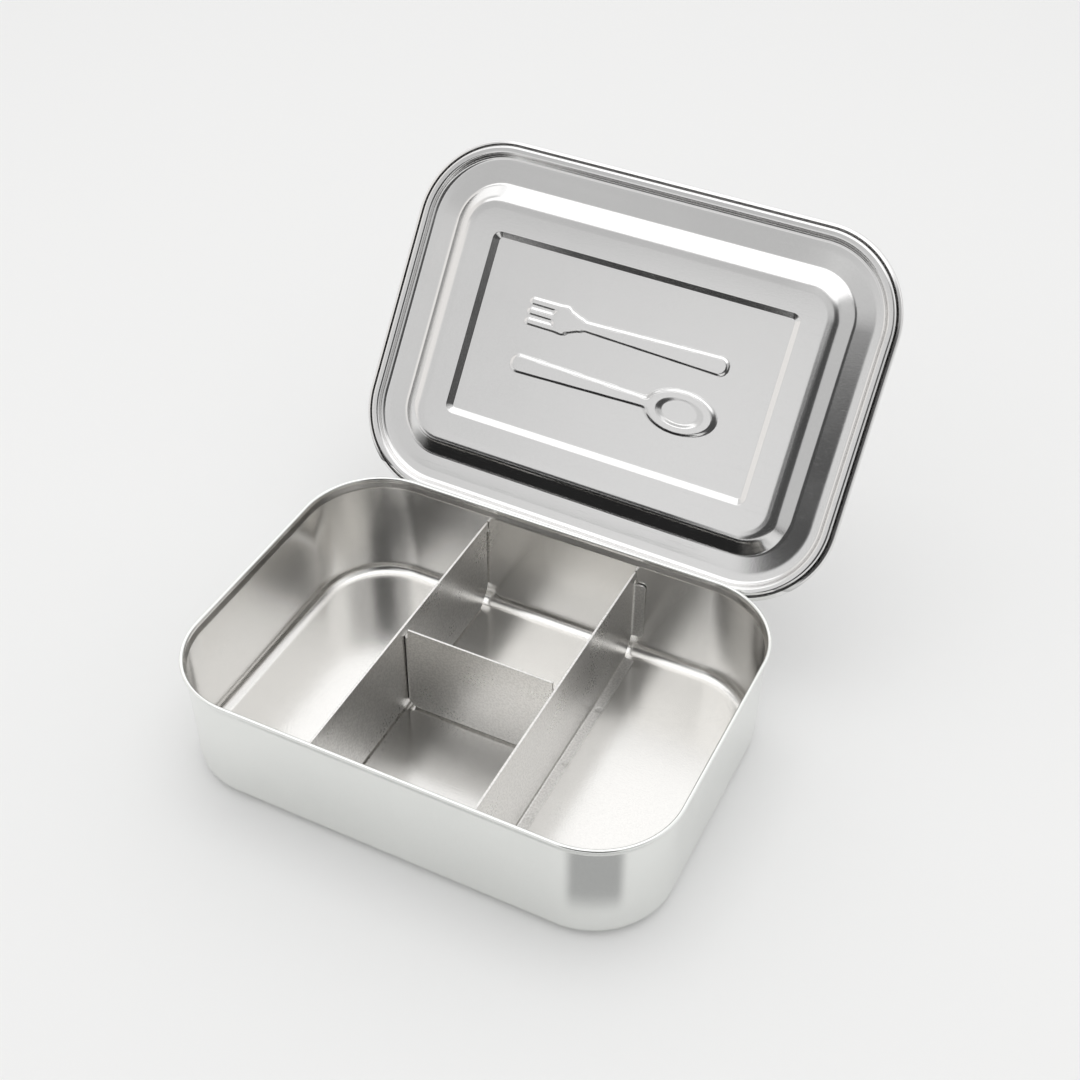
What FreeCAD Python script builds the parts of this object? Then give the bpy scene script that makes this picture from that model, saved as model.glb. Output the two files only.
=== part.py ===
"""Stainless-steel bento lunch box: a deep-drawn tray with three spot-welded dividers and a loose pressed lid.

Millimetres. The origin is the centre of the tray's underside, +Z is up, +X runs along the long side
and -Y is the front. The lid is shown lifted off and leant back behind the rear rim.
"""
import FreeCAD, Part
import math
import os

from FreeCAD import Vector

# ---- tray ---------------------------------------------------------------------------------------
RIM_LENGTH = 159.0          # over the rolled rim, along X
RIM_WIDTH = 114.0           # over the rolled rim, along Y
RIM_CORNER = 26.8           # plan radius of the rim's outside
TRAY_HEIGHT = 40.2          # underside to the top of the rim
TRAY_SHEET = 0.6
RIM_BEAD = 0.65             # radius of the rolled rim
NECK_INSET = 0.6            # the wall steps in this much just below the rim
NECK_TOP = 0.95             # below the bead's centre, where the step starts
NECK_BOTTOM = 2.75          # below the bead's centre, where the step ends
NECK_RADIUS = 1.5
WALL_DRAFT = 0.012          # inward run of the wall per millimetre of depth
FLOOR_RADIUS = 4.5          # outside radius between wall and floor
FLOOR_RING = 12.0           # width of the swept ring, from the rim's outside to the flat floor plate

# ---- dividers -----------------------------------------------------------------------------------
DIVIDER_SHEET = 0.7
DIVIDER_DROP = 5.0          # divider tops below the centre of the rim bead
LEFT_DIVIDER_X = -25.9
RIGHT_DIVIDER_X = 26.9
CROSS_DIVIDER_Y = -0.2
BEND_INSIDE = 0.6           # inside radius of every fold
FLOOR_FLANGE = 4.4          # width of the flange that lies on the floor
WALL_TAB = 4.8              # width of the upright tabs
WALL_TAB_DROP = 4.6         # divider top down to the top of an upright tab
WALL_TAB_FOOT = 7.0         # height of the tabs' lower ends above the floor
TAB_CORNER = 1.2            # rounding of the tabs' free corners
COVE_CLEARANCE = 5.2        # the plates' lower corners are cut back this far from the floor cove
END_GAP = 0.3               # plate end to wall, above the tabs
WELD_GAP = 0.02             # faces that are welded together
CROSS_TAB = 4.2
CROSS_RELIEF = 1.5          # the cross divider's top stops this far from the long dividers
CROSS_TAB_DROP = 3.6

# ---- lid ----------------------------------------------------------------------------------------
LID_SHEET = 0.5
LID_OVERHANG = 2.35         # lid edge beyond the tray's rim, each side
CURL_RADIUS = 0.5           # inside radius of the rolled hem
SKIRT = 1.75                # inset of the skirt
CURL_SHOULDER_Z = 0.38
CURL_END = 1.35             # inset and height where the rolled sheet ends
CURL_END_Z = 0.74
BEAD_TOP = 1.9              # heights are above the middle of the hem
BEAD_INNER = 4.4            # inset of the bead's inner shoulder
BEAD_ROUND = 1.1
COVE = 5.0                  # inset of the foot of the bead
COVE_ROUND = 1.8
CHANNEL_LOW = -0.3
CHANNEL_BREAK = 8.3         # the channel's floor is level out to here and then rises inwards
CHANNEL_ROUND = 12.0
SLOPE_FOOT = 14.15
SLOPE_FOOT_Z = 0.25
SLOPE_FOOT_ROUND = 3.0
PLATEAU_EDGE = 19.1
PLATEAU_EDGE_Z = 3.32
PLATEAU_ROUND = 6.5
PLATEAU_BREAK = 21.9        # the plateau's edge is slightly crowned out to here
PLATEAU_TOP = 3.5
PLATEAU_BREAK_ROUND = 12.0
LID_RING = 24.5             # width of the swept ring, from the lid's edge to the plateau plate
PANEL_LENGTH = 104.9        # mouth of the recessed panel
PANEL_WIDTH = 60.8
PANEL_CORNER = 2.95
PANEL_WALL = 1.95           # run of the recess's sloping wall
PANEL_DEPTH = 1.15
LID_ROLL = -0.69            # turn in the lid's own plane
LID_TURN = 53.8             # turn about X from closed to leaning back
LID_CENTRE = Vector(2.65, 91.85, 82.65)

# ---- worked out ---------------------------------------------------------------------------------
UP = Vector(0, 0, 1)
RIM_Z = TRAY_HEIGHT - RIM_BEAD
WALL_OUT = 2 * RIM_BEAD - TRAY_SHEET
DIVIDER_TOP = RIM_Z - DIVIDER_DROP
FLOOR_TOP = TRAY_SHEET
LID_LENGTH = RIM_LENGTH + 2 * LID_OVERHANG
LID_WIDTH = RIM_WIDTH + 2 * LID_OVERHANG
LID_CORNER = RIM_CORNER + LID_OVERHANG


def wall_inside(z):
    """Inset of the wall's inside face from the rim's outside at height z, below the neck."""
    return WALL_OUT + TRAY_SHEET + NECK_INSET + WALL_DRAFT * (RIM_Z - z)


def rounded_path(corners):
    """Wire in the XZ plane through (x, z, radius) corners, rounded with tangent arcs."""
    points = [Vector(x, 0, z) for x, z, radius in corners]
    edges = []
    start = points[0]
    for i in range(1, len(points) - 1):
        back = (points[i - 1] - points[i]).normalize()
        ahead = (points[i + 1] - points[i]).normalize()
        half = back.getAngle(ahead) / 2
        radius = corners[i][2]
        reach = radius / math.tan(half)
        enter = points[i] + back * reach
        leave = points[i] + ahead * reach
        bisector = (back + ahead).normalize()
        middle = points[i] + bisector * (radius / math.sin(half) - radius)
        if (enter - start).Length > 1e-6:
            edges.append(Part.makeLine(start, enter))
        edges.append(Part.Arc(enter, middle, leave).toShape())
        start = leave
    edges.append(Part.makeLine(start, points[-1]))
    return Part.Wire(edges)


def sheet_section(corners, thickness):
    """Face of bent sheet: the rounded path, with the sheet to the right of its direction (+Z up)."""
    points = [Vector(x, 0, z) for x, z, radius in corners]
    moved = []
    for i, point in enumerate(points):
        before = (point - points[i - 1]).normalize() if i else (points[1] - point).normalize()
        after = (points[i + 1] - point).normalize() if i < len(points) - 1 else before
        right_before = Vector(before.z, 0, -before.x)
        right_after = Vector(after.z, 0, -after.x)
        mitre = (right_before + right_after).normalize()
        shift = mitre * (thickness / mitre.dot(right_before))
        turn = before.x * after.z - before.z * after.x
        radius = corners[i][2] + math.copysign(thickness, turn) * (abs(turn) > 1e-9)
        moved.append((point.x + shift.x, point.z + shift.z, radius))
    near = rounded_path(corners)
    far = rounded_path(moved)
    start = Part.makeLine(near.OrderedVertexes[0].Point, far.OrderedVertexes[0].Point)
    end = Part.makeLine(near.OrderedVertexes[-1].Point, far.OrderedVertexes[-1].Point)
    return Part.Face(Part.Wire(Part.__sortEdges__(near.Edges + far.Edges + [start, end])))


def sweep_round(section, length, width, corner):
    """Sweep a section once round a rounded rectangle; its x is the distance from the corner's axis."""
    reach_x = length / 2 - corner
    reach_y = width / 2 - corner
    centres = [(reach_x, reach_y), (-reach_x, reach_y), (-reach_x, -reach_y), (reach_x, -reach_y)]
    runs = [2 * reach_x, 2 * reach_y, 2 * reach_x, 2 * reach_y]
    pieces = []
    for i, (x, y) in enumerate(centres):
        axis = Vector(x, y, 0)
        face = section.copy()
        face.rotate(Vector(0, 0, 0), UP, 90 * i)
        face.translate(axis)
        pieces.append(face.revolve(axis, UP, 90))
        face.rotate(axis, UP, 90)
        angle = math.radians(90 * i + 180)
        pieces.append(face.extrude(Vector(math.cos(angle), math.sin(angle), 0) * runs[i]))
    return pieces[0].fuse(pieces[1:]).removeSplitter()


def rounded_rectangle(length, width, corner, z):
    """Closed wire of a rounded rectangle centred on the Z axis, at height z."""
    x = length / 2 - corner
    y = width / 2 - corner
    edges = []
    for i, (cx, cy) in enumerate([(x, y), (-x, y), (-x, -y), (x, -y)]):
        arc = Part.makeCircle(corner, Vector(cx, cy, z), UP, 90 * i, 90 * i + 90)
        if edges:
            edges.append(Part.makeLine(edges[-1].lastVertex().Point, arc.firstVertex().Point))
        edges.append(arc)
    edges.append(Part.makeLine(edges[-1].lastVertex().Point, edges[0].firstVertex().Point))
    return Part.Wire(edges)


def rounded_plate(length, width, corner, z, thickness):
    """Flat plate with rounded corners, from z upwards."""
    return Part.Face(rounded_rectangle(length, width, corner, z)).extrude(UP * thickness)


def make_tray():
    """One deep-drawn sheet: floor, coved walls, a slight neck and a rolled rim."""
    edge = RIM_CORNER
    outside = [
        (edge - WALL_OUT, RIM_Z, 0),
        (edge - WALL_OUT, RIM_Z - NECK_TOP, NECK_RADIUS),
        (edge - WALL_OUT - NECK_INSET, RIM_Z - NECK_BOTTOM, NECK_RADIUS),
        (edge - WALL_OUT - NECK_INSET - WALL_DRAFT * RIM_Z, 0, FLOOR_RADIUS),
        (edge - FLOOR_RING, 0, 0),
    ]
    wall = sweep_round(sheet_section(outside, TRAY_SHEET), RIM_LENGTH, RIM_WIDTH, RIM_CORNER)
    circle = Part.makeCircle(RIM_BEAD, Vector(edge - RIM_BEAD, 0, RIM_Z), Vector(0, -1, 0))
    bead = sweep_round(Part.Face(Part.Wire([circle])), RIM_LENGTH, RIM_WIDTH, RIM_CORNER)
    floor = rounded_plate(RIM_LENGTH - 2 * FLOOR_RING, RIM_WIDTH - 2 * FLOOR_RING,
                          RIM_CORNER - FLOOR_RING, 0, TRAY_SHEET)
    return wall.fuse([bead, floor]).removeSplitter()


def folded_strip(length, width, rounded_end):
    """A fold and its flange, running along +Z from the origin.

    The fold leaves a plate that arrives along -Y with its faces at x = +-DIVIDER_SHEET / 2, and the
    flange points to +X with its outer face at y = DIVIDER_SHEET + BEND_INSIDE.
    """
    half = DIVIDER_SHEET / 2
    centre = Vector(half + BEND_INSIDE, 0, 0)
    ring = Part.makeCylinder(BEND_INSIDE + DIVIDER_SHEET, length, centre, UP, 90)
    ring = ring.cut(Part.makeCylinder(BEND_INSIDE, length, centre, UP, 90))
    ring.rotate(centre, UP, 90)
    run = width - half - BEND_INSIDE - half
    flange = Part.makeBox(run, DIVIDER_SHEET, length, Vector(centre.x, BEND_INSIDE, 0))
    if rounded_end:
        across = Vector(0, 1, 0)
        corners = [e for e in flange.Edges
                   if abs(e.tangentAt(e.FirstParameter).dot(across)) > 0.99
                   and e.CenterOfMass.x > centre.x + run / 2]
        flange = flange.makeFillet(TAB_CORNER, corners)
    return ring.fuse(flange).removeSplitter()


def make_long_divider(x, side):
    """Front-to-back divider at x, with its floor flange and end tabs folded towards side (+1 is +X)."""
    half = DIVIDER_SHEET / 2
    fold = BEND_INSIDE + DIVIDER_SHEET
    wall_top = RIM_WIDTH / 2 - wall_inside(DIVIDER_TOP)
    wall_foot = RIM_WIDTH / 2 - wall_inside(0)
    tab_top = DIVIDER_TOP - WALL_TAB_DROP
    tab_foot = FLOOR_TOP + WALL_TAB_FOOT
    floor = FLOOR_TOP + WELD_GAP
    lean = WALL_DRAFT * tab_foot
    profile = [
        Vector(-half, 0, floor + fold),
        Vector(-half, wall_foot - COVE_CLEARANCE, floor + fold),
        Vector(-half, wall_foot + lean - END_GAP - 1, tab_foot - 1),
        Vector(-half, wall_foot + lean - fold - WELD_GAP, tab_foot),
        Vector(-half, wall_top - WALL_DRAFT * WALL_TAB_DROP - fold - WELD_GAP, tab_top),
        Vector(-half, wall_top - fold, tab_top + fold),
        Vector(-half, wall_top - END_GAP, tab_top + fold),
        Vector(-half, wall_top - END_GAP, DIVIDER_TOP),
        Vector(-half, 0, DIVIDER_TOP),
    ]
    half_plate = Part.Face(Part.makePolygon(profile + profile[:1])).extrude(Vector(DIVIDER_SHEET, 0, 0))
    tab = folded_strip(tab_top - tab_foot, WALL_TAB, True)
    tab.rotate(Vector(0, fold, 0), Vector(1, 0, 0), -math.degrees(math.atan(WALL_DRAFT)))
    tab.translate(Vector(0, wall_foot + lean - fold - WELD_GAP, tab_foot))
    rear = half_plate.fuse(tab)
    front = rear.mirror(Vector(0, 0, 0), Vector(0, 1, 0))
    flange_run = 2 * (wall_foot - COVE_CLEARANCE)
    flange = folded_strip(flange_run, FLOOR_FLANGE, False)
    flange.rotate(Vector(0, 0, 0), Vector(1, 0, 0), -90)
    flange.translate(Vector(0, -flange_run / 2, floor + fold))
    divider = rear.fuse([front, flange]).removeSplitter()
    if side < 0:
        divider = divider.mirror(Vector(0, 0, 0), Vector(1, 0, 0))
    divider.translate(Vector(x, 0, 0))
    return divider


def make_cross_divider():
    """Short divider between the two long ones, with its flange and tabs folded to the rear."""
    fold = BEND_INSIDE + DIVIDER_SHEET
    half = DIVIDER_SHEET / 2
    clear = (RIGHT_DIVIDER_X - LEFT_DIVIDER_X) / 2 - half - WELD_GAP
    floor = FLOOR_TOP + WELD_GAP
    tab_top = DIVIDER_TOP - CROSS_TAB_DROP
    tab_foot = floor + fold + 1
    profile = [
        Vector(0, -half, floor + fold),
        Vector(clear - fold - 1, -half, floor + fold),
        Vector(clear - fold, -half, tab_foot),
        Vector(clear - fold, -half, tab_top),
        Vector(clear - CROSS_RELIEF, -half, tab_top + 1),
        Vector(clear - CROSS_RELIEF, -half, DIVIDER_TOP),
        Vector(0, -half, DIVIDER_TOP),
    ]
    plate = Part.Face(Part.makePolygon(profile + profile[:1])).extrude(Vector(0, DIVIDER_SHEET, 0))
    tab = folded_strip(tab_top - tab_foot, CROSS_TAB, True)
    tab = tab.mirror(Vector(0, 0, 0), Vector(1, 0, 0))
    tab.rotate(Vector(0, 0, 0), UP, -90)
    tab.translate(Vector(clear - fold, 0, tab_foot))
    right = plate.fuse(tab)
    left = right.mirror(Vector(0, 0, 0), Vector(1, 0, 0))
    flange_run = 2 * (clear - fold - 1)
    flange = folded_strip(flange_run, FLOOR_FLANGE, False)
    flange.rotate(Vector(0, 0, 0), Vector(1, 0, 0), -90)
    flange.rotate(Vector(0, 0, 0), UP, 90)
    flange.translate(Vector(flange_run / 2, 0, floor + fold))
    divider = right.fuse([left, flange]).removeSplitter()
    divider.translate(Vector((LEFT_DIVIDER_X + RIGHT_DIVIDER_X) / 2, CROSS_DIVIDER_Y, 0))
    return divider


def make_closed_lid():
    """One pressed sheet, closed way up, centred on the middle of its hem: hem, bead, channel, plateau."""
    edge = LID_CORNER
    face_up = [
        (edge - LID_RING, PLATEAU_TOP, 0),
        (edge - PLATEAU_BREAK, PLATEAU_TOP, PLATEAU_BREAK_ROUND),
        (edge - PLATEAU_EDGE, PLATEAU_EDGE_Z, PLATEAU_ROUND),
        (edge - SLOPE_FOOT, SLOPE_FOOT_Z, SLOPE_FOOT_ROUND),
        (edge - CHANNEL_BREAK, CHANNEL_LOW, CHANNEL_ROUND),
        (edge - COVE, CHANNEL_LOW, COVE_ROUND),
        (edge - BEAD_INNER, BEAD_TOP, BEAD_ROUND),
        (edge - SKIRT, BEAD_TOP, BEAD_ROUND),
        (edge - SKIRT, -CURL_RADIUS, CURL_RADIUS),
        (edge - LID_SHEET, -CURL_RADIUS, CURL_RADIUS),
        (edge - LID_SHEET, CURL_SHOULDER_Z, CURL_RADIUS),
        (edge - CURL_END, CURL_END_Z, 0),
    ]
    ring = sweep_round(sheet_section(face_up, LID_SHEET), LID_LENGTH, LID_WIDTH, LID_CORNER)
    plate = rounded_plate(LID_LENGTH - 2 * LID_RING, LID_WIDTH - 2 * LID_RING, LID_CORNER - LID_RING,
                          PLATEAU_TOP - LID_SHEET, LID_SHEET)
    floor = PLATEAU_TOP - PANEL_DEPTH
    mouth = rounded_rectangle(PANEL_LENGTH, PANEL_WIDTH, PANEL_CORNER, PLATEAU_TOP)
    bed = rounded_rectangle(PANEL_LENGTH - 2 * PANEL_WALL, PANEL_WIDTH - 2 * PANEL_WALL,
                            PANEL_CORNER - PANEL_WALL, floor)
    recess = Part.makeLoft([mouth, bed], True, True)
    back = recess.copy()
    back.translate(Vector(0, 0, -LID_SHEET))
    return ring.fuse([plate, back]).cut(recess).removeSplitter()


def make_lid():
    """The lid leaning back behind the rear rim, its hem just clear of the wall below the rim."""
    lid = make_closed_lid()
    lid.rotate(Vector(0, 0, 0), UP, LID_ROLL)
    lid.rotate(Vector(0, 0, 0), Vector(1, 0, 0), LID_TURN)
    lid.translate(LID_CENTRE)
    return lid


def build():
    """All nodes by name."""
    return {
        "tray": make_tray(),
        "left_divider": make_long_divider(LEFT_DIVIDER_X, -1),
        "right_divider": make_long_divider(RIGHT_DIVIDER_X, 1),
        "cross_divider": make_cross_divider(),
        "lid": make_lid(),
    }


def main():
    os.makedirs("parts", exist_ok=True)
    for name, shape in build().items():
        print(name, len(shape.Solids), shape.isValid(), round(shape.Volume, 1), shape.optimalBoundingBox())
        shape.exportStep(os.path.join("parts", name + ".step"))


main()
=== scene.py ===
"""Stainless-steel bento lunch box: tray, three welded dividers and a loose pressed lid."""

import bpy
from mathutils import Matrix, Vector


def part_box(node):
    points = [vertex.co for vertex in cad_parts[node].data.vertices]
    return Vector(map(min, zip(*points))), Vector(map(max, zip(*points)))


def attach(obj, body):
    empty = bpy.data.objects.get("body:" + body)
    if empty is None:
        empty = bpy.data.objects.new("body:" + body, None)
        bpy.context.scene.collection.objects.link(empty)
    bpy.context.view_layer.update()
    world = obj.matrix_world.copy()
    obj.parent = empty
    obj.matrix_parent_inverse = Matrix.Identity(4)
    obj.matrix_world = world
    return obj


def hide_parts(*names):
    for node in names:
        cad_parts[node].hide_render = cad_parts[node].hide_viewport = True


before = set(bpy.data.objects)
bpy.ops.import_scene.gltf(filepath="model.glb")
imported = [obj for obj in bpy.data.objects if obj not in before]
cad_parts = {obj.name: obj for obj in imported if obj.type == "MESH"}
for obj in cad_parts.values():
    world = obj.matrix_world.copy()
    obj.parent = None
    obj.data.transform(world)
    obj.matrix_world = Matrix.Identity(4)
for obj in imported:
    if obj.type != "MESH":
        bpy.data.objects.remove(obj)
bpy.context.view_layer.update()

import math

import bmesh
import bpy
import numpy as np
from mathutils import Matrix, Vector

MM = 0.001
scene = bpy.context.scene

# ---- places and sizes, in millimetres ------------------------------------------------------------
TRAY_LOW, TRAY_HIGH = (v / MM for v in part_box("tray"))
RIM_LENGTH = TRAY_HIGH.x - TRAY_LOW.x
RIM_WIDTH = TRAY_HIGH.y - TRAY_LOW.y
TRAY_HEIGHT = TRAY_HIGH.z
RIM_CORNER = 26.8
TRAY_SHEET = 0.6
RIM_BEAD = 0.65             # radius of the rolled rim
RIM_Z = TRAY_HEIGHT - RIM_BEAD
WALL_OUT = 2 * RIM_BEAD - TRAY_SHEET
WALL_TOP_DROP = 0.64        # the outside of the wall ends inside the bead
NECK_INSET = 0.6
NECK_TOP, NECK_BOTTOM = 0.95, 2.75      # below the centre of the rim
NECK_RADIUS = 1.5
WALL_DRAFT = 0.012
FLOOR_RADIUS = 4.5
FLOOR_RING = 12.0           # from the rim's outside to the flat floor plate

DIVIDER_SHEET = 0.7
DIVIDER_TOP = RIM_Z - 5.0
BEND = 0.6                  # inside radius of every fold
FOLD = BEND + DIVIDER_SHEET
FOLD_MIDDLE = BEND + DIVIDER_SHEET / 2
WELD_GAP = 0.02
DIVIDER_FLOOR = TRAY_SHEET + WELD_GAP
FLANGE, FLANGE_CORNER = 4.4, 0.8
LONG_TAB, CROSS_TAB, TAB_CORNER = 4.8, 4.2, 1.2
LONG_TAB_DROP, CROSS_TAB_DROP = 4.6, 3.6
LONG_TAB_FOOT = 7.0
COVE_CLEARANCE = 5.2        # lower corners of the long plates to the wall
END_GAP = 0.3
LONG_RELIEF, CROSS_RELIEF = 1.3, 1.5    # cut-outs above and below the folded tabs
SPOT_INSET = 2.6            # row of spot welds to the middle of the plate
LONG_SPOT_PITCH, CROSS_SPOT_PITCH = 24.5, 17.0
EDGE_EASE = 0.22            # rounding of the sheared edges

LID_SHEET = 0.5
LID_OVERHANG = 2.35
LID_LENGTH = RIM_LENGTH + 2 * LID_OVERHANG
LID_WIDTH = RIM_WIDTH + 2 * LID_OVERHANG
LID_CORNER = RIM_CORNER + LID_OVERHANG
LID_ROLL = math.radians(-0.69)
LID_TURN = math.radians(53.8)
PLATEAU_TOP = 3.5
LID_SECTION = [             # upper face: minus the inset from the edge, height, radius
    (-24.5, PLATEAU_TOP, 0),
    (-21.9, PLATEAU_TOP, 12.0),
    (-19.1, 3.32, 6.5),     # plateau's edge
    (-14.15, 0.25, 3.0),    # foot of its slope
    (-8.3, -0.3, 12.0),
    (-5.0, -0.3, 1.8),      # channel
    (-4.4, 1.9, 1.1),
    (-1.75, 1.9, 1.1),      # bead
    (-1.75, -0.5, 0.5),
    (-0.5, -0.5, 0.5),      # rolled hem
    (-0.5, 0.38, 0.5),
    (-1.35, 0.74, 0),
]
PANEL_LENGTH, PANEL_WIDTH, PANEL_CORNER = 104.9, 60.8, 2.95
PANEL_WALL, PANEL_DEPTH = 1.95, 1.15
EMBOSS_LENGTH, EMBOSS_WIDTH = 84.0, 44.0
EMBOSS_HEIGHT = 0.5
CORNER_STEPS = 28           # points on each rounded corner


# ---- mesh helpers --------------------------------------------------------------------------------
def rounded_profile(corners, steps):
    """Points (x, z, nx, nz) along (x, z, radius) corners; the normal is to the left of the direction."""
    points = [np.array(c[:2], float) for c in corners]
    out = []

    def normal(direction):
        return np.array([-direction[1], direction[0]])

    for i, point in enumerate(points):
        if i == 0 or i == len(points) - 1:
            a, b = (points[0], points[1]) if i == 0 else (points[-2], points[-1])
            d = (b - a) / np.linalg.norm(b - a)
            out.append((*point, *normal(d)))
            continue
        d0 = (point - points[i - 1]) / np.linalg.norm(point - points[i - 1])
        d1 = (points[i + 1] - point) / np.linalg.norm(points[i + 1] - point)
        turn = math.atan2(d0[0] * d1[1] - d0[1] * d1[0], d0 @ d1)
        radius = corners[i][2]
        if radius <= 0:
            out.append((*point, *normal(d0)))
            out.append((*point, *normal(d1)))
            continue
        reach = radius * math.tan(abs(turn) / 2)
        start = point - d0 * reach
        side = math.copysign(1, turn)
        centre = start + normal(d0) * side * radius
        count = max(2, math.ceil(steps * abs(turn) / (math.pi / 2)))
        for k in range(count + 1):
            a = turn * k / count
            d = d0 * math.cos(a) + normal(d0) * math.sin(a)
            out.append((*(centre - normal(d) * side * radius), *normal(d)))
    return out


def outline(length, width, corner):
    """Points (x, y, nx, ny) round a rounded rectangle, the same count whatever its size."""
    reach_x, reach_y = length / 2 - corner, width / 2 - corner
    out = []
    centres = [(reach_x, reach_y), (-reach_x, reach_y), (-reach_x, -reach_y), (reach_x, -reach_y)]
    for quarter, (cx, cy) in enumerate(centres):
        for k in range(CORNER_STEPS + 1):
            a = math.pi / 2 * (quarter + k / CORNER_STEPS)
            out.append((cx + corner * math.cos(a), cy + corner * math.sin(a), math.cos(a), math.sin(a)))
    return out


class Skin:
    """A mesh built of rings, with exact normals and a UV map in millimetres (u round, v across)."""

    def __init__(self):
        self.verts, self.normals, self.uv, self.faces = [], [], [], []
        self.finish_from = []       # the face where each further material slot starts

    def ring(self, length, width, corner, z, nr, nz, v):
        first = len(self.verts)
        travelled = 0.0
        last = None
        for x, y, nx, ny in outline(length, width, corner):
            if last is not None:
                travelled += math.hypot(x - last[0], y - last[1])
            last = (x, y)
            self.verts.append((x, y, z))
            self.normals.append((nx * nr, ny * nr, nz))
            self.uv.append((travelled, v))
        return list(range(first, len(self.verts)))

    def strip(self, a, b, flip=False):
        n = len(a)
        for i in range(n):
            j = (i + 1) % n
            quad = (a[i], a[j], b[j], b[i])
            self.faces.append(quad[::-1] if flip else quad)

    def sweep(self, profile, length, width, corner, flip=False):
        """Profile points (inset from the outline's edge, z, outward normal, z normal)."""
        rings, v, last = [], 0.0, None
        for s, z, nr, nz in profile:
            if last is not None:
                v += math.hypot(s - last[0], z - last[1])
            last = (s, z)
            rings.append(self.ring(length - 2 * s, width - 2 * s, corner - s, z, nr, nz, v))
        for a, b in zip(rings, rings[1:]):
            self.strip(a, b, flip)
        return rings

    def cap(self, ring, flip=False):
        self.faces.append(tuple(ring[::-1] if flip else ring))

    def build(self, name):
        mesh = bpy.data.meshes.new(name)
        mesh.from_pydata([(x * MM, y * MM, z * MM) for x, y, z in self.verts], [], self.faces)
        layer = mesh.uv_layers.new(name="Surface")
        for loop in mesh.loops:
            layer.data[loop.index].uv = self.uv[loop.vertex_index]
        for poly in mesh.polygons:
            poly.use_smooth = True
            poly.material_index = sum(poly.index >= first for first in self.finish_from)
        mesh.validate()
        mesh.normals_split_custom_set_from_vertices([Vector(n).normalized() for n in self.normals])
        mesh.update()
        obj = bpy.data.objects.new(name, mesh)
        scene.collection.objects.link(obj)
        return obj


def sheet_profile(corners, thickness, steps):
    """The two faces of a bent sheet: the path through the corners, and the same path moved to its right."""
    points = [np.array(c[:2], float) for c in corners]
    moved = []
    for i, point in enumerate(points):
        before = points[i] - points[i - 1] if i else points[1] - points[0]
        after = points[i + 1] - points[i] if i < len(points) - 1 else before
        before, after = before / np.linalg.norm(before), after / np.linalg.norm(after)
        right0, right1 = np.array([before[1], -before[0]]), np.array([after[1], -after[0]])
        mitre = (right0 + right1) / np.linalg.norm(right0 + right1)
        shift = mitre * thickness / (mitre @ right0)
        turn = before[0] * after[1] - before[1] * after[0]
        radius = corners[i][2] + (math.copysign(thickness, turn) if abs(turn) > 1e-9 else 0)
        moved.append((point[0] + shift[0], point[1] + shift[1], radius))
    near = rounded_profile(corners, steps)
    far = [(x, z, -nx, -nz) for x, z, nx, nz in rounded_profile(moved, steps)]
    return near, far


def as_inset(profile):
    """(x, z, nx, nz) with x = -inset, turned into (inset, z, nr, nz)."""
    return [(-x, z, nx, nz) for x, z, nx, nz in profile]


# ---- tray ----------------------------------------------------------------------------------------
def make_tray():
    foot = WALL_OUT + NECK_INSET + WALL_DRAFT * RIM_Z
    outside = [
        (-WALL_OUT, RIM_Z, 0),
        (-WALL_OUT, RIM_Z - NECK_TOP, NECK_RADIUS),
        (-WALL_OUT - NECK_INSET, RIM_Z - NECK_BOTTOM, NECK_RADIUS),
        (-foot, 0, FLOOR_RADIUS),
        (-FLOOR_RING, 0, 0),
    ]
    near, far = sheet_profile(outside, TRAY_SHEET, 12)
    near = [p if p[1] < RIM_Z else (p[0], RIM_Z - WALL_TOP_DROP, p[2], p[3]) for p in near]
    bead, bead_steps = [], 24
    start = math.degrees(math.asin((RIM_BEAD - WALL_OUT) / RIM_BEAD)) - 90
    for k in range(bead_steps + 1):
        a = math.radians(start + (180 - start) * k / bead_steps)
        nx, nz = math.cos(a), math.sin(a)
        bead.append((-RIM_BEAD + RIM_BEAD * nx, RIM_Z + RIM_BEAD * nz, nx, nz))
    skin = Skin()
    outer = skin.sweep(as_inset(near), RIM_LENGTH, RIM_WIDTH, RIM_CORNER, flip=True)
    skin.cap(outer[-1], flip=True)
    skin.sweep(as_inset(bead), RIM_LENGTH, RIM_WIDTH, RIM_CORNER)
    skin.finish_from.append(len(skin.faces))
    inner = skin.sweep(as_inset(far), RIM_LENGTH, RIM_WIDTH, RIM_CORNER)
    skin.cap(inner[-1])
    return skin.build("tray_shell")


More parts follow.
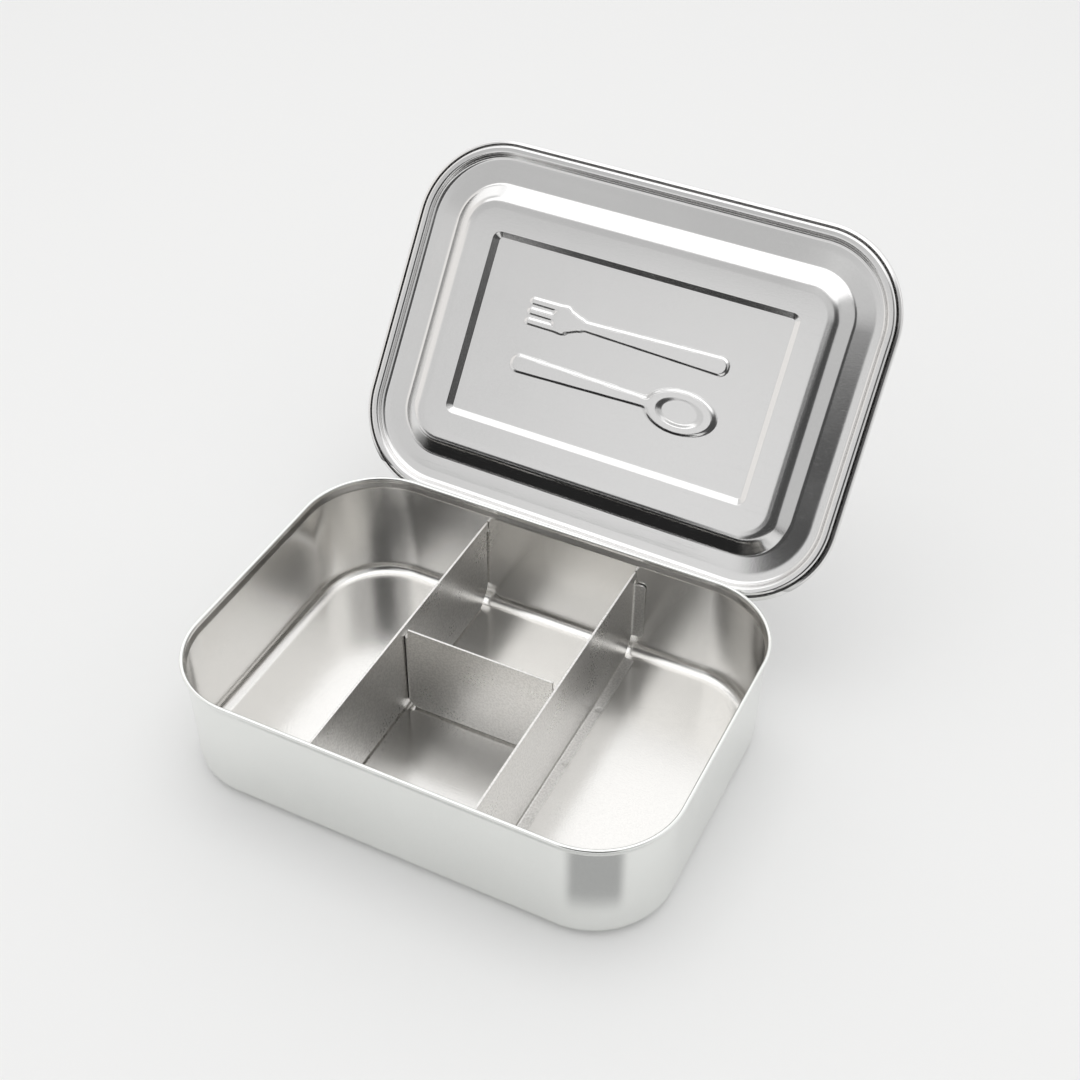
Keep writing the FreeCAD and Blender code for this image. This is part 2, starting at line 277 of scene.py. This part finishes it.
# ---- lid -----------------------------------------------------------------------------------------
def emboss_height(x, y):
    """Height of the pressed fork and spoon above the panel, from signed distances in millimetres."""
    def bar(x0, y0, x1, y1, r0, r1):
        dx, dy = x1 - x0, y1 - y0
        t = np.clip(((x - x0) * dx + (y - y0) * dy) / (dx * dx + dy * dy), 0, 1)
        return np.hypot(x - x0 - t * dx, y - y0 - t * dy) - (r0 + (r1 - r0) * t)

    def oval(cx, cy, rx, ry):
        reach = np.hypot((x - cx) / rx, (y - cy) / ry)
        return (reach - 1) * min(rx, ry)

    fork_y, spoon_y, tine_pitch = 8.6, -8.6, 3.3
    bowl = oval(24.0, spoon_y, 11.5, 6.6)
    shapes = [bar(-15.0, fork_y, 32.0, fork_y, 1.4, 2.7), bar(-21.0, fork_y, -16.0, fork_y, 4.2, 2.2)]
    for tine_y in (fork_y - tine_pitch, fork_y, fork_y + tine_pitch):
        shapes.append(bar(-33.0, tine_y, -21.0, tine_y, 0.95, 1.05))
    shapes += [bar(-32.0, spoon_y, 14.0, spoon_y, 2.7, 1.4), bowl]
    inside = shapes[0]
    for shape in shapes[1:]:
        blend = np.clip(0.5 + 0.5 * (shape - inside), 0, 1)
        inside = inside * blend + shape * (1 - blend) - blend * (1 - blend)
    step = np.clip(0.5 - inside / 1.3, 0, 1)
    height = step * step * (3 - 2 * step)
    hollow = np.clip(0.5 - (bowl + 2.6) / 1.6, 0, 1)
    return EMBOSS_HEIGHT * (height - 0.75 * hollow * hollow * (3 - 2 * hollow))


def emboss_patch(skin, ring, z, side):
    """Fills the panel's floor: a fine grid with the pressed figure, joined flat to the ring round it."""
    nx, ny = 240, 126
    xs = np.linspace(-EMBOSS_LENGTH / 2, EMBOSS_LENGTH / 2, nx + 1)
    ys = np.linspace(-EMBOSS_WIDTH / 2, EMBOSS_WIDTH / 2, ny + 1)
    gx, gy = np.meshgrid(xs, ys)
    height = emboss_height(gx, gy)
    slope_x = (emboss_height(gx + 0.05, gy) - emboss_height(gx - 0.05, gy)) / 0.1
    slope_y = (emboss_height(gx, gy + 0.05) - emboss_height(gx, gy - 0.05)) / 0.1
    first = len(skin.verts)
    for j in range(ny + 1):
        for i in range(nx + 1):
            skin.verts.append((xs[i], ys[j], z + height[j, i]))
            skin.normals.append((-slope_x[j, i] * side, -slope_y[j, i] * side, side))
            skin.uv.append((xs[i], ys[j]))

    def at(i, j):
        return first + j * (nx + 1) + i

    def face(corners):
        skin.faces.append(tuple(corners if side > 0 else corners[::-1]))

    for j in range(ny):
        for i in range(nx):
            face([at(i, j), at(i + 1, j), at(i + 1, j + 1), at(i, j + 1)])
    arc = len(ring) // 4
    arcs = [ring[k * arc:(k + 1) * arc] for k in range(4)]
    corners = [at(nx, ny), at(0, ny), at(0, 0), at(nx, 0)]
    edges = [[at(i, ny) for i in range(nx, -1, -1)], [at(0, j) for j in range(ny, -1, -1)],
             [at(i, 0) for i in range(nx + 1)], [at(nx, j) for j in range(ny + 1)]]
    for k in range(4):
        face([corners[k]] + arcs[k])
        face([arcs[k][-1], arcs[(k + 1) % 4][0]] + edges[k][::-1])


def make_lid():
    near, far = sheet_profile(LID_SECTION, LID_SHEET, 14)
    skin = Skin()
    top = skin.sweep(as_inset(near), LID_LENGTH, LID_WIDTH, LID_CORNER, flip=True)
    under = skin.sweep(as_inset(far), LID_LENGTH, LID_WIDTH, LID_CORNER)
    hem_end = [(-x, z, -1, 0) for x, z, _, _ in (near[-1], far[-1])]
    skin.sweep(hem_end, LID_LENGTH, LID_WIDTH, LID_CORNER, flip=True)

    def pan(side, first):
        """The recessed panel: mouth fillet, sloping wall, floor fillet and floor."""
        level = PLATEAU_TOP if side > 0 else PLATEAU_TOP - LID_SHEET
        mouth, foot = (0.0, PANEL_WALL) if side > 0 else (0.2, PANEL_WALL - 0.2)
        bottom = level - PANEL_DEPTH
        path = [(2.0, level, 0), (mouth, level, 0.6), (-foot, bottom, 0.6), (-4.0, bottom, 0)]
        profile = rounded_profile(path, 16)
        rings = [first]
        v = 0.0
        for i, (x, z, nx, nz) in enumerate(profile[1:], 1):
            v += math.hypot(x - profile[i - 1][0], z - profile[i - 1][1])
            rings.append(skin.ring(PANEL_LENGTH + 2 * x, PANEL_WIDTH + 2 * x, max(PANEL_CORNER + x, 0.4), z,
                                   -nx * side, -nz * side, v))
        for a, b in zip(rings, rings[1:]):
            skin.strip(a, b, flip=side < 0)
        return rings[-1], bottom

    for side, first in ((1, top[0]), (-1, under[0])):
        ring, level = pan(side, first)
        emboss_patch(skin, ring, level, side)
    return skin.build("lid_shell")


# ---- dividers ------------------------------------------------------------------------------------
def sheet_object(name, mesh_builder):
    """A surface made by mesh_builder(bmesh), thickened about its middle, with eased edges."""
    work = bmesh.new()
    mesh_builder(work)
    bmesh.ops.remove_doubles(work, verts=work.verts, dist=1e-5)
    bmesh.ops.recalc_face_normals(work, faces=work.faces)
    mesh = bpy.data.meshes.new(name)
    work.to_mesh(mesh)
    work.free()
    mesh.transform(Matrix.Scale(MM, 4))
    obj = bpy.data.objects.new(name, mesh)
    scene.collection.objects.link(obj)
    thick = obj.modifiers.new("Sheet", "SOLIDIFY")
    thick.thickness = DIVIDER_SHEET * MM
    thick.offset = 0
    thick.use_even_offset = True
    thick.use_quality_normals = True
    ease = obj.modifiers.new("Eased edges", "BEVEL")
    ease.width = EDGE_EASE * MM
    ease.segments = 3
    ease.limit_method = "ANGLE"
    ease.angle_limit = math.radians(50)
    ease.harden_normals = True
    mesh.shade_smooth()
    mesh.set_sharp_from_angle(angle=math.radians(40))
    return obj


def fold(work, a, b, outward, inward, width, corner):
    """From the fold line a-b, the sheet bends from direction inward to direction outward and runs on."""
    a, b, outward, inward = Vector(a), Vector(b), Vector(outward), Vector(inward)
    run = width - DIVIDER_SHEET / 2 - FOLD
    last = (a, b)
    fold_steps, corner_steps = 8, 6
    for k in range(1, fold_steps + 1):
        t = math.pi / 2 * k / fold_steps
        shift = outward * FOLD_MIDDLE * (1 - math.cos(t)) + inward * FOLD_MIDDLE * math.sin(t)
        now = (a + shift, b + shift)
        work.faces.new([work.verts.new(p) for p in (last[0], last[1], now[1], now[0])])
        last = now
    along = (b - a).normalized()
    far_a, far_b = last[0] + outward * run, last[1] + outward * run
    points = [last[0], last[1]]
    for centre, start, end in ((far_b - along * corner - outward * corner, along, outward),
                               (far_a + along * corner - outward * corner, outward, -along)):
        for k in range(corner_steps + 1):
            t = math.pi / 2 * k / corner_steps
            points.append(centre + start * corner * math.cos(t) + end * corner * math.sin(t))
    work.faces.new([work.verts.new(p) for p in points])


def wall_inside(z):
    """Inset of the tray wall's inner face at height z."""
    return WALL_OUT + TRAY_SHEET + NECK_INSET + WALL_DRAFT * (RIM_Z - z)


def mirrored(half):
    return half + [(-across, z) for across, z in reversed(half)]


def make_long_divider(name, x, side):
    def build(work):
        wall_top = RIM_WIDTH / 2 - wall_inside(DIVIDER_TOP)
        wall_foot = RIM_WIDTH / 2 - wall_inside(0)
        tab_top, tab_foot = DIVIDER_TOP - LONG_TAB_DROP, TRAY_SHEET + LONG_TAB_FOOT
        lean = WALL_DRAFT * tab_foot
        foot_y = wall_foot - COVE_CLEARANCE
        foot_z = DIVIDER_FLOOR + FOLD
        tab_y = wall_foot + lean - FOLD - WELD_GAP
        half = [
            (foot_y, foot_z),
            (wall_foot + lean - LONG_RELIEF, tab_foot - 1),
            (tab_y, tab_foot),
            (tab_y, tab_top),
            (wall_top - FOLD, tab_top + LONG_RELIEF),
            (wall_top - END_GAP, tab_top + LONG_RELIEF),
            (wall_top - END_GAP, DIVIDER_TOP),
        ]
        work.faces.new([work.verts.new((x, y, z)) for y, z in mirrored(half)])
        out = (side, 0, 0)
        fold(work, (x, -foot_y, foot_z), (x, foot_y, foot_z), out, (0, 0, -1), FLANGE, FLANGE_CORNER)
        for end in (1, -1):
            tab = (x, end * tab_y, tab_foot), (x, end * tab_y, tab_top)
            fold(work, *tab, out, (0, end, 0), LONG_TAB, TAB_CORNER)
    return sheet_object(name, build)


def make_cross_divider(name, left, right, y):
    def build(work):
        middle = (left + right) / 2
        clear = (right - left) / 2 - DIVIDER_SHEET / 2 - WELD_GAP
        foot_x, foot_z = clear - FOLD - 1, DIVIDER_FLOOR + FOLD
        tab_top, tab_foot = DIVIDER_TOP - CROSS_TAB_DROP, foot_z + 1
        half = [
            (foot_x, foot_z),
            (clear - FOLD, tab_foot),
            (clear - FOLD, tab_top),
            (clear - CROSS_RELIEF, tab_top + 1),
            (clear - CROSS_RELIEF, DIVIDER_TOP),
        ]
        work.faces.new([work.verts.new((middle + across, y, z)) for across, z in mirrored(half)])
        out = (0, 1, 0)
        fold(work, (middle - foot_x, y, foot_z), (middle + foot_x, y, foot_z), out, (0, 0, -1),
             FLANGE, FLANGE_CORNER)
        for end in (1, -1):
            edge = middle + end * (clear - FOLD)
            fold(work, (edge, y, tab_foot), (edge, y, tab_top), out, (end, 0, 0), CROSS_TAB, TAB_CORNER)
    return sheet_object(name, build)


# ---- materials -----------------------------------------------------------------------------------
class Graph:
    """Small helpers on one node tree."""

    def __init__(self, tree):
        self.nodes, self.links = tree.nodes, tree.links

    def calc(self, operation, a, b=None):
        node = self.nodes.new("ShaderNodeMath")
        node.operation = operation
        for i, value in enumerate((a, b)):
            if isinstance(value, (int, float)):
                node.inputs[i].default_value = value
            elif value is not None:
                self.links.new(value, node.inputs[i])
        return node.outputs["Value"]

    def ramp(self, value, from_min, from_max, to_min=0.0, to_max=1.0, smooth=False):
        node = self.nodes.new("ShaderNodeMapRange")
        node.interpolation_type = "SMOOTHSTEP" if smooth else "LINEAR"
        numbers = {"From Min": from_min, "From Max": from_max, "To Min": to_min, "To Max": to_max}
        for key, number in numbers.items():
            node.inputs[key].default_value = number
        self.links.new(value, node.inputs["Value"])
        return node.outputs["Result"]


def steel(name, color, rough, swing, grain, wave, hairlines=0.0, spots=None):
    """Stainless steel: slow waviness of pressed sheet, fine satin grain, hairline scratches, small
    changes of roughness and tone, and for welded sheets a row of spot-weld marks.

    grain is (scale, bump, change of tone), wave is (scale, bump), and spots is (axis across, axis along,
    middle, distance from it, pitch) with lengths in metres.
    """
    mat = bpy.data.materials.new(name)
    mat.use_nodes = True
    graph = Graph(mat.node_tree)
    nodes, links, calc, ramp = graph.nodes, graph.links, graph.calc, graph.ramp
    nodes.clear()
    out = nodes.new("ShaderNodeOutputMaterial")
    bsdf = nodes.new("ShaderNodeBsdfPrincipled")
    bsdf.inputs["Metallic"].default_value = 1.0
    links.new(bsdf.outputs["BSDF"], out.inputs["Surface"])
    place = nodes.new("ShaderNodeTexCoord").outputs["Object"]

    def noise(scale, detail, stretch=None):
        node = nodes.new("ShaderNodeTexNoise")
        node.inputs["Scale"].default_value = scale
        node.inputs["Detail"].default_value = detail
        source = place
        if stretch:
            mapping = nodes.new("ShaderNodeMapping")
            mapping.inputs["Rotation"].default_value = stretch[0]
            mapping.inputs["Scale"].default_value = stretch[1]
            links.new(place, mapping.inputs["Vector"])
            source = mapping.outputs["Vector"]
        links.new(source, node.inputs["Vector"])
        return node.outputs["Fac"]

    def bump(height, strength, distance, normal=None):
        node = nodes.new("ShaderNodeBump")
        node.inputs["Strength"].default_value = strength
        node.inputs["Distance"].default_value = distance
        links.new(height, node.inputs["Height"])
        if normal is not None:
            links.new(normal, node.inputs["Normal"])
        return node.outputs["Normal"]

    cloud = noise(60, 4)
    fine = noise(grain[0], 2)
    tone = calc("MULTIPLY", ramp(cloud, 0.3, 0.7, 0.98, 1.0), ramp(fine, 0.4, 0.6, 1 - grain[2], 1.0))
    roughness = calc("ADD", ramp(cloud, 0.3, 0.7, rough - swing, rough + swing),
                     ramp(fine, 0.3, 0.7, -0.5 * swing, 0.5 * swing))
    normal = bump(noise(wave[0], 1), wave[1], 0.001)
    if hairlines:
        lines = calc("ADD", ramp(noise(60, 2, ((0, 0, 0.21), (1, 60, 60))), 0.66, 0.74, 0, 1),
                     ramp(noise(45, 2, ((0, 0, -0.9), (1, 80, 80))), 0.67, 0.75, 0, 1))
        normal = bump(lines, hairlines, 0.00003, normal)
        roughness = calc("ADD", roughness, ramp(lines, 0, 1, 0, 0.05))
    if spots:
        parts = nodes.new("ShaderNodeSeparateXYZ")
        links.new(place, parts.inputs["Vector"])
        across, along, middle, half, pitch = spots
        beside = calc("SUBTRACT", calc("ABSOLUTE", calc("SUBTRACT", parts.outputs[across], middle)), half)
        step = calc("SNAP", calc("ADD", parts.outputs[along], pitch / 2), pitch)
        away = calc("SUBTRACT", parts.outputs[along], step)
        reach = calc("SQRT", calc("ADD", calc("MULTIPLY", beside, beside), calc("MULTIPLY", away, away)))
        low = calc("LESS_THAN", parts.outputs["Z"], 0.0018)      # the marks are on the flange only
        dip = calc("MULTIPLY", ramp(reach, 0.0009, 0.0013, 1, 0, True), low)
        halo = calc("MULTIPLY", ramp(reach, 0.0012, 0.0024, 1, 0, True), low)
        tone = calc("MULTIPLY", tone, ramp(halo, 0, 1, 1.0, 0.94))
        normal = bump(calc("SUBTRACT", 1.0, dip), 0.5, 0.0001, normal)
    normal = bump(fine, grain[1], 0.00005, normal)
    shade = nodes.new("ShaderNodeVectorMath")
    shade.operation = "SCALE"
    shade.inputs[0].default_value = color
    links.new(tone, shade.inputs["Scale"])
    links.new(shade.outputs["Vector"], bsdf.inputs["Base Color"])
    links.new(roughness, bsdf.inputs["Roughness"])
    links.new(normal, bsdf.inputs["Normal"])
    return mat


def floor_material():
    mat = bpy.data.materials.new("Pale floor")
    mat.use_nodes = True
    bsdf = mat.node_tree.nodes["Principled BSDF"]
    bsdf.inputs["Base Color"].default_value = (0.88, 0.88, 0.875, 1)
    bsdf.inputs["Roughness"].default_value = 0.9
    bsdf.inputs["Specular IOR Level"].default_value = 0.2
    return mat


# ---- the object ----------------------------------------------------------------------------------
tray = make_tray()
tray.data.materials.append(steel("Tray outside steel", color=(0.86, 0.87, 0.85), rough=0.15, swing=0.02,
                                 grain=(2100, 0.10, 0.02), wave=(16, 0.05), hairlines=0.08))
tray.data.materials.append(steel("Tray inside steel", color=(0.83, 0.82, 0.80), rough=0.20, swing=0.02,
                                 grain=(2100, 0.25, 0.04), wave=(20, 0.12), hairlines=0.08))
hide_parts("tray")
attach(tray, "tray")

left_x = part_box("left_divider")[1].x / MM - DIVIDER_SHEET / 2
right_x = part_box("right_divider")[0].x / MM + DIVIDER_SHEET / 2
cross_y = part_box("cross_divider")[0].y / MM + DIVIDER_SHEET / 2
divider_look = dict(color=(0.81, 0.80, 0.78), rough=0.29, swing=0.02,
                    grain=(1500, 0.10, 0.16), wave=(30, 0.04))
long_rows = (left_x + right_x) / 2 * MM, ((right_x - left_x) / 2 + SPOT_INSET) * MM
long_steel = steel("Long divider steel", **divider_look, spots=(0, 1, *long_rows, LONG_SPOT_PITCH * MM))
cross_row = cross_y * MM, SPOT_INSET * MM
cross_steel = steel("Cross divider steel", **divider_look, spots=(1, 0, *cross_row, CROSS_SPOT_PITCH * MM))
for node, obj, look in (
    ("left_divider", make_long_divider("left_divider_sheet", left_x, -1), long_steel),
    ("right_divider", make_long_divider("right_divider_sheet", right_x, 1), long_steel),
    ("cross_divider", make_cross_divider("cross_divider_sheet", left_x, right_x, cross_y), cross_steel),
):
    obj.data.materials.append(look)
    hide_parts(node)
    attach(obj, "tray")

lid = make_lid()
turn = Matrix.Rotation(LID_TURN, 4, "X") @ Matrix.Rotation(LID_ROLL, 4, "Z")
low, high = Vector((1e9,) * 3), Vector((-1e9,) * 3)
for vertex in lid.data.vertices:
    p = turn @ vertex.co
    low, high = Vector(map(min, low, p)), Vector(map(max, high, p))
cad_low, cad_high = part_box("lid")
lid.data.transform(Matrix.Translation((cad_low + cad_high - low - high) / 2) @ turn)
lid.data.materials.append(steel("Lid steel", color=(0.81, 0.805, 0.80), rough=0.14, swing=0.015,
                                grain=(2100, 0.12, 0.025), wave=(14, 0.06), hairlines=0.06))
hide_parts("lid")
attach(lid, "lid")

# ---- floor, light and camera ---------------------------------------------------------------------
floor_mesh = bpy.data.meshes.new("floor")
floor_mesh.from_pydata([(-6, -6, 0), (6, -6, 0), (6, 6, 0), (-6, 6, 0)], [], [(0, 1, 2, 3)])
floor = bpy.data.objects.new("floor", floor_mesh)
scene.collection.objects.link(floor)
floor_mesh.materials.append(floor_material())


def grey(value, warm=0.0):
    return (value * (1 + warm), value, value * (1 - warm))


EVEN_LIGHT = 0.86
# Tone, then azimuth from the front towards the right (low, high, softness) and elevation, in degrees.
STUDIO = [
    (grey(0.72), (-60, 60, 10), (-20, 42, 8)),
    (grey(0.58), (0, 75, 8), (44, 60, 6)),
    (grey(1.45), (-80, -15, 7), (43, 62, 3)),
    (grey(0.95, 0.02), (-120, -50, 8), (-30, 40, 12)),
    (grey(0.62), (48, 75, 4), (-10, 45, 10)),
    (grey(1.3), (-400, -100, 12), (15, 60, 12)),
    (grey(1.1), (90, 400, 12), (15, 60, 12)),
    (grey(1.5), (-400, 400, 12), (60, 120, 6)),
    (grey(0.88), (-24, -6, 8), (5, 38, 6)),
    (grey(0.08), (12, 46, 9), (28, 54, 8)),
    (grey(0.07), (-8, 47, 3.5), (-2, 39, 4)),
]


def studio_world():
    """An even white surround for what is lit; for reflections, a studio of soft boxes and dark cloth."""
    world = bpy.data.worlds.new("Studio")
    scene.world = world
    world.use_nodes = True
    graph = Graph(world.node_tree)
    nodes, links, calc = graph.nodes, graph.links, graph.calc
    even = nodes["Background"]
    even.inputs["Color"].default_value = (1, 1, 1, 1)
    even.inputs["Strength"].default_value = EVEN_LIGHT

    place = nodes.new("ShaderNodeTexCoord")
    parts = nodes.new("ShaderNodeSeparateXYZ")
    links.new(place.outputs["Generated"], parts.inputs["Vector"])
    towards_front = calc("MULTIPLY", parts.outputs["Y"], -1.0)
    azimuth = calc("DEGREES", calc("ARCTAN2", parts.outputs["X"], towards_front))
    elevation = calc("DEGREES", calc("ARCSINE", parts.outputs["Z"]))

    def between(value, low, high, soft):
        return calc("MULTIPLY", graph.ramp(value, low - soft, low + soft, smooth=True),
                    graph.ramp(value, high + soft, high - soft, smooth=True))

    shade = None
    for tone, azimuths, elevations in STUDIO:
        mask = calc("MULTIPLY", between(azimuth, *azimuths), between(elevation, *elevations))
        mix = nodes.new("ShaderNodeMix")
        mix.data_type = "RGBA"
        links.new(mask, mix.inputs["Factor"])
        if shade is None:
            mix.inputs[6].default_value = (0.7, 0.7, 0.7, 1)
        else:
            links.new(shade, mix.inputs[6])
        mix.inputs[7].default_value = (*tone, 1)
        shade = mix.outputs[2]
    mirrored = nodes.new("ShaderNodeBackground")
    links.new(shade, mirrored.inputs["Color"])
    ray = nodes.new("ShaderNodeLightPath")
    choose = nodes.new("ShaderNodeMixShader")
    links.new(ray.outputs["Is Glossy Ray"], choose.inputs["Fac"])
    links.new(even.outputs["Background"], choose.inputs[1])
    links.new(mirrored.outputs["Background"], choose.inputs[2])
    links.new(choose.outputs["Shader"], nodes["World Output"].inputs["Surface"])


studio_world()


def soft_light(name, place, aim, width, height, power):
    data = bpy.data.lights.new(name, "AREA")
    data.shape = "RECTANGLE"
    data.size, data.size_y = width, height
    data.energy = power
    obj = bpy.data.objects.new(name, data)
    obj.location = place
    obj.rotation_mode = "QUATERNION"
    obj.rotation_quaternion = (Vector(aim) - Vector(place)).to_track_quat("-Z", "Y")
    obj.visible_glossy = False
    scene.collection.objects.link(obj)


soft_light("overhead", (0, 0.1, 1.2), (0, 0, 0), 1.0, 0.8, 2.6)


def painted_reflection_card(name, points, faces, edges, tone):
    """A painted reflection: a dark card seen only in reflections and only from its front, faded at its edges
    (UV 0 to 1).
    """
    mesh = bpy.data.meshes.new(name)
    mesh.from_pydata([Vector(p) * MM for p in points], [], faces)
    layer = mesh.uv_layers.new(name="Fade")
    for loop in mesh.loops:
        layer.data[loop.index].uv = edges[loop.vertex_index]
    mat = bpy.data.materials.new(name)
    mat.use_nodes = True
    graph = Graph(mat.node_tree)
    nodes, links = graph.nodes, graph.links
    nodes.clear()
    # painted reflection: an emission of the given tone, seen only by reflected rays and lighting nothing
    painted_tone = nodes.new("ShaderNodeEmission")
    painted_tone.inputs["Color"].default_value = (tone, tone, tone, 1)
    clear = nodes.new("ShaderNodeBsdfTransparent")
    place = nodes.new("ShaderNodeSeparateXYZ")
    links.new(nodes.new("ShaderNodeTexCoord").outputs["UV"], place.inputs["Vector"])
    weight = graph.calc("SUBTRACT", 1.0, nodes.new("ShaderNodeNewGeometry").outputs["Backfacing"])
    for axis in ("X", "Y"):
        for end, full in ((0.0, 0.2), (1.0, 0.8)):
            weight = graph.calc("MULTIPLY", weight, graph.ramp(place.outputs[axis], end, full, smooth=True))
    mix = nodes.new("ShaderNodeMixShader")
    links.new(weight, mix.inputs["Fac"])
    links.new(clear.outputs["BSDF"], mix.inputs[1])
    links.new(painted_tone.outputs["Emission"], mix.inputs[2])
    out = nodes.new("ShaderNodeOutputMaterial")
    links.new(mix.outputs["Shader"], out.inputs["Surface"])
    mesh.materials.append(mat)
    card = bpy.data.objects.new(name, mesh)
    card.visible_camera = card.visible_diffuse = card.visible_shadow = False
    scene.collection.objects.link(card)


def flat_card(name, corners, tone, ends=(0, 1)):
    """A painted-reflection card with four corners; ends are the values of its second fade at the near and
    the far side.
    """
    painted_reflection_card(name, corners, [(0, 1, 2, 3)], [(0, ends[0]), (1, ends[0]), (1, ends[1]), (0, ends[1])], tone)


def corner_painted_reflection_card():
    """Painted dark reflection in the round wall: a dark card on the floor off the front right corner, seen
    only in reflections and spread by how the round wall mirrors it.
    """
    corner = Vector((RIM_LENGTH / 2 - RIM_CORNER, RIM_CORNER - RIM_WIDTH / 2, 0))
    points, edges, faces = [], [], []
    first, last, viewer = 4, 48, 26         # degrees from the front
    foot_radius, above_floor, turns = RIM_CORNER - 1.3, 0.5, 24
    for k in range(turns + 1):
        facing = first + (last - first) * k / turns
        wall, ahead = math.radians(facing), math.radians(2 * facing - viewer)
        foot = corner + Vector((math.sin(wall), -math.cos(wall), 0)) * foot_radius
        away = Vector((math.sin(ahead), -math.cos(ahead), 0))
        for j, reach in enumerate((6, 46)):
            points.append(foot + away * reach + Vector((0, 0, above_floor)))
            edges.append((k / turns, j))
        if k:
            faces.append((2 * k - 2, 2 * k - 1, 2 * k + 1, 2 * k))
    painted_reflection_card("corner_painted_reflection_card", points, faces, edges, 0.42)


# painted dark reflection in the front right corner of the tray's outer wall
corner_painted_reflection_card()
# painted reflection: a grey card high over the tray, seen only in the steel's reflections
flat_card("upper_painted_reflection_card", [(-260, 30, 168), (-260, 30, 300), (80, 30, 300), (80, 30, 168)], 0.60)
# painted dark reflection: a near-black upright card above the front of the tray, seen only in reflections
flat_card("low_front_painted_reflection_card", [(40, -36, 42), (-150, -36, 42), (-150, -36, 74), (40, -36, 74)], 0.05)
# painted shade in the lid's reflection: near-black cards lying just over the tray's rim, seen only in
# reflections and only from above
over = TRAY_HEIGHT + 1
for name, low_x, high_x, low_y, high_y, ends in (("rear_painted_shade_card", -95, 90, 42, 75, (0.1, 0.8)),
                                                 ("front_painted_shade_card", -125, 100, -60, 37, (0, 0.82))):
    corners = [(low_x, low_y, over), (high_x, low_y, over), (high_x, high_y, over), (low_x, high_y, over)]
    flat_card(name, corners, 0.02, ends)

CAMERA_PLACE = Vector((165.8, -296.4, 377.9)) * MM
CAMERA_ANGLES = 26.15, 41.27, 0.48      # azimuth from the front, elevation and roll, in degrees
FOCAL_LENGTH, SENSOR_WIDTH = 53.84, 36
camera_data = bpy.data.cameras.new("camera")
camera = bpy.data.objects.new("camera", camera_data)
scene.collection.objects.link(camera)
scene.camera = camera
azimuth, elevation, roll = (math.radians(angle) for angle in CAMERA_ANGLES)
level = math.cos(elevation)
back = Vector((math.sin(azimuth) * level, -math.cos(azimuth) * level, math.sin(elevation)))
right = (-back).cross(Vector((0, 0, 1))).normalized()
up = right.cross(-back).normalized()
right, up = math.cos(roll) * right + math.sin(roll) * up, -math.sin(roll) * right + math.cos(roll) * up
rotation = Matrix((right, up, back)).transposed().to_4x4()
camera.matrix_world = Matrix.Translation(CAMERA_PLACE) @ rotation
camera_data.sensor_width = SENSOR_WIDTH
camera_data.lens = FOCAL_LENGTH
camera_data.clip_start = 0.01
camera_data.clip_end = 50

scene.view_settings.view_transform = "Standard"
scene.view_settings.look = "None"

bpy.context.view_layer.update()
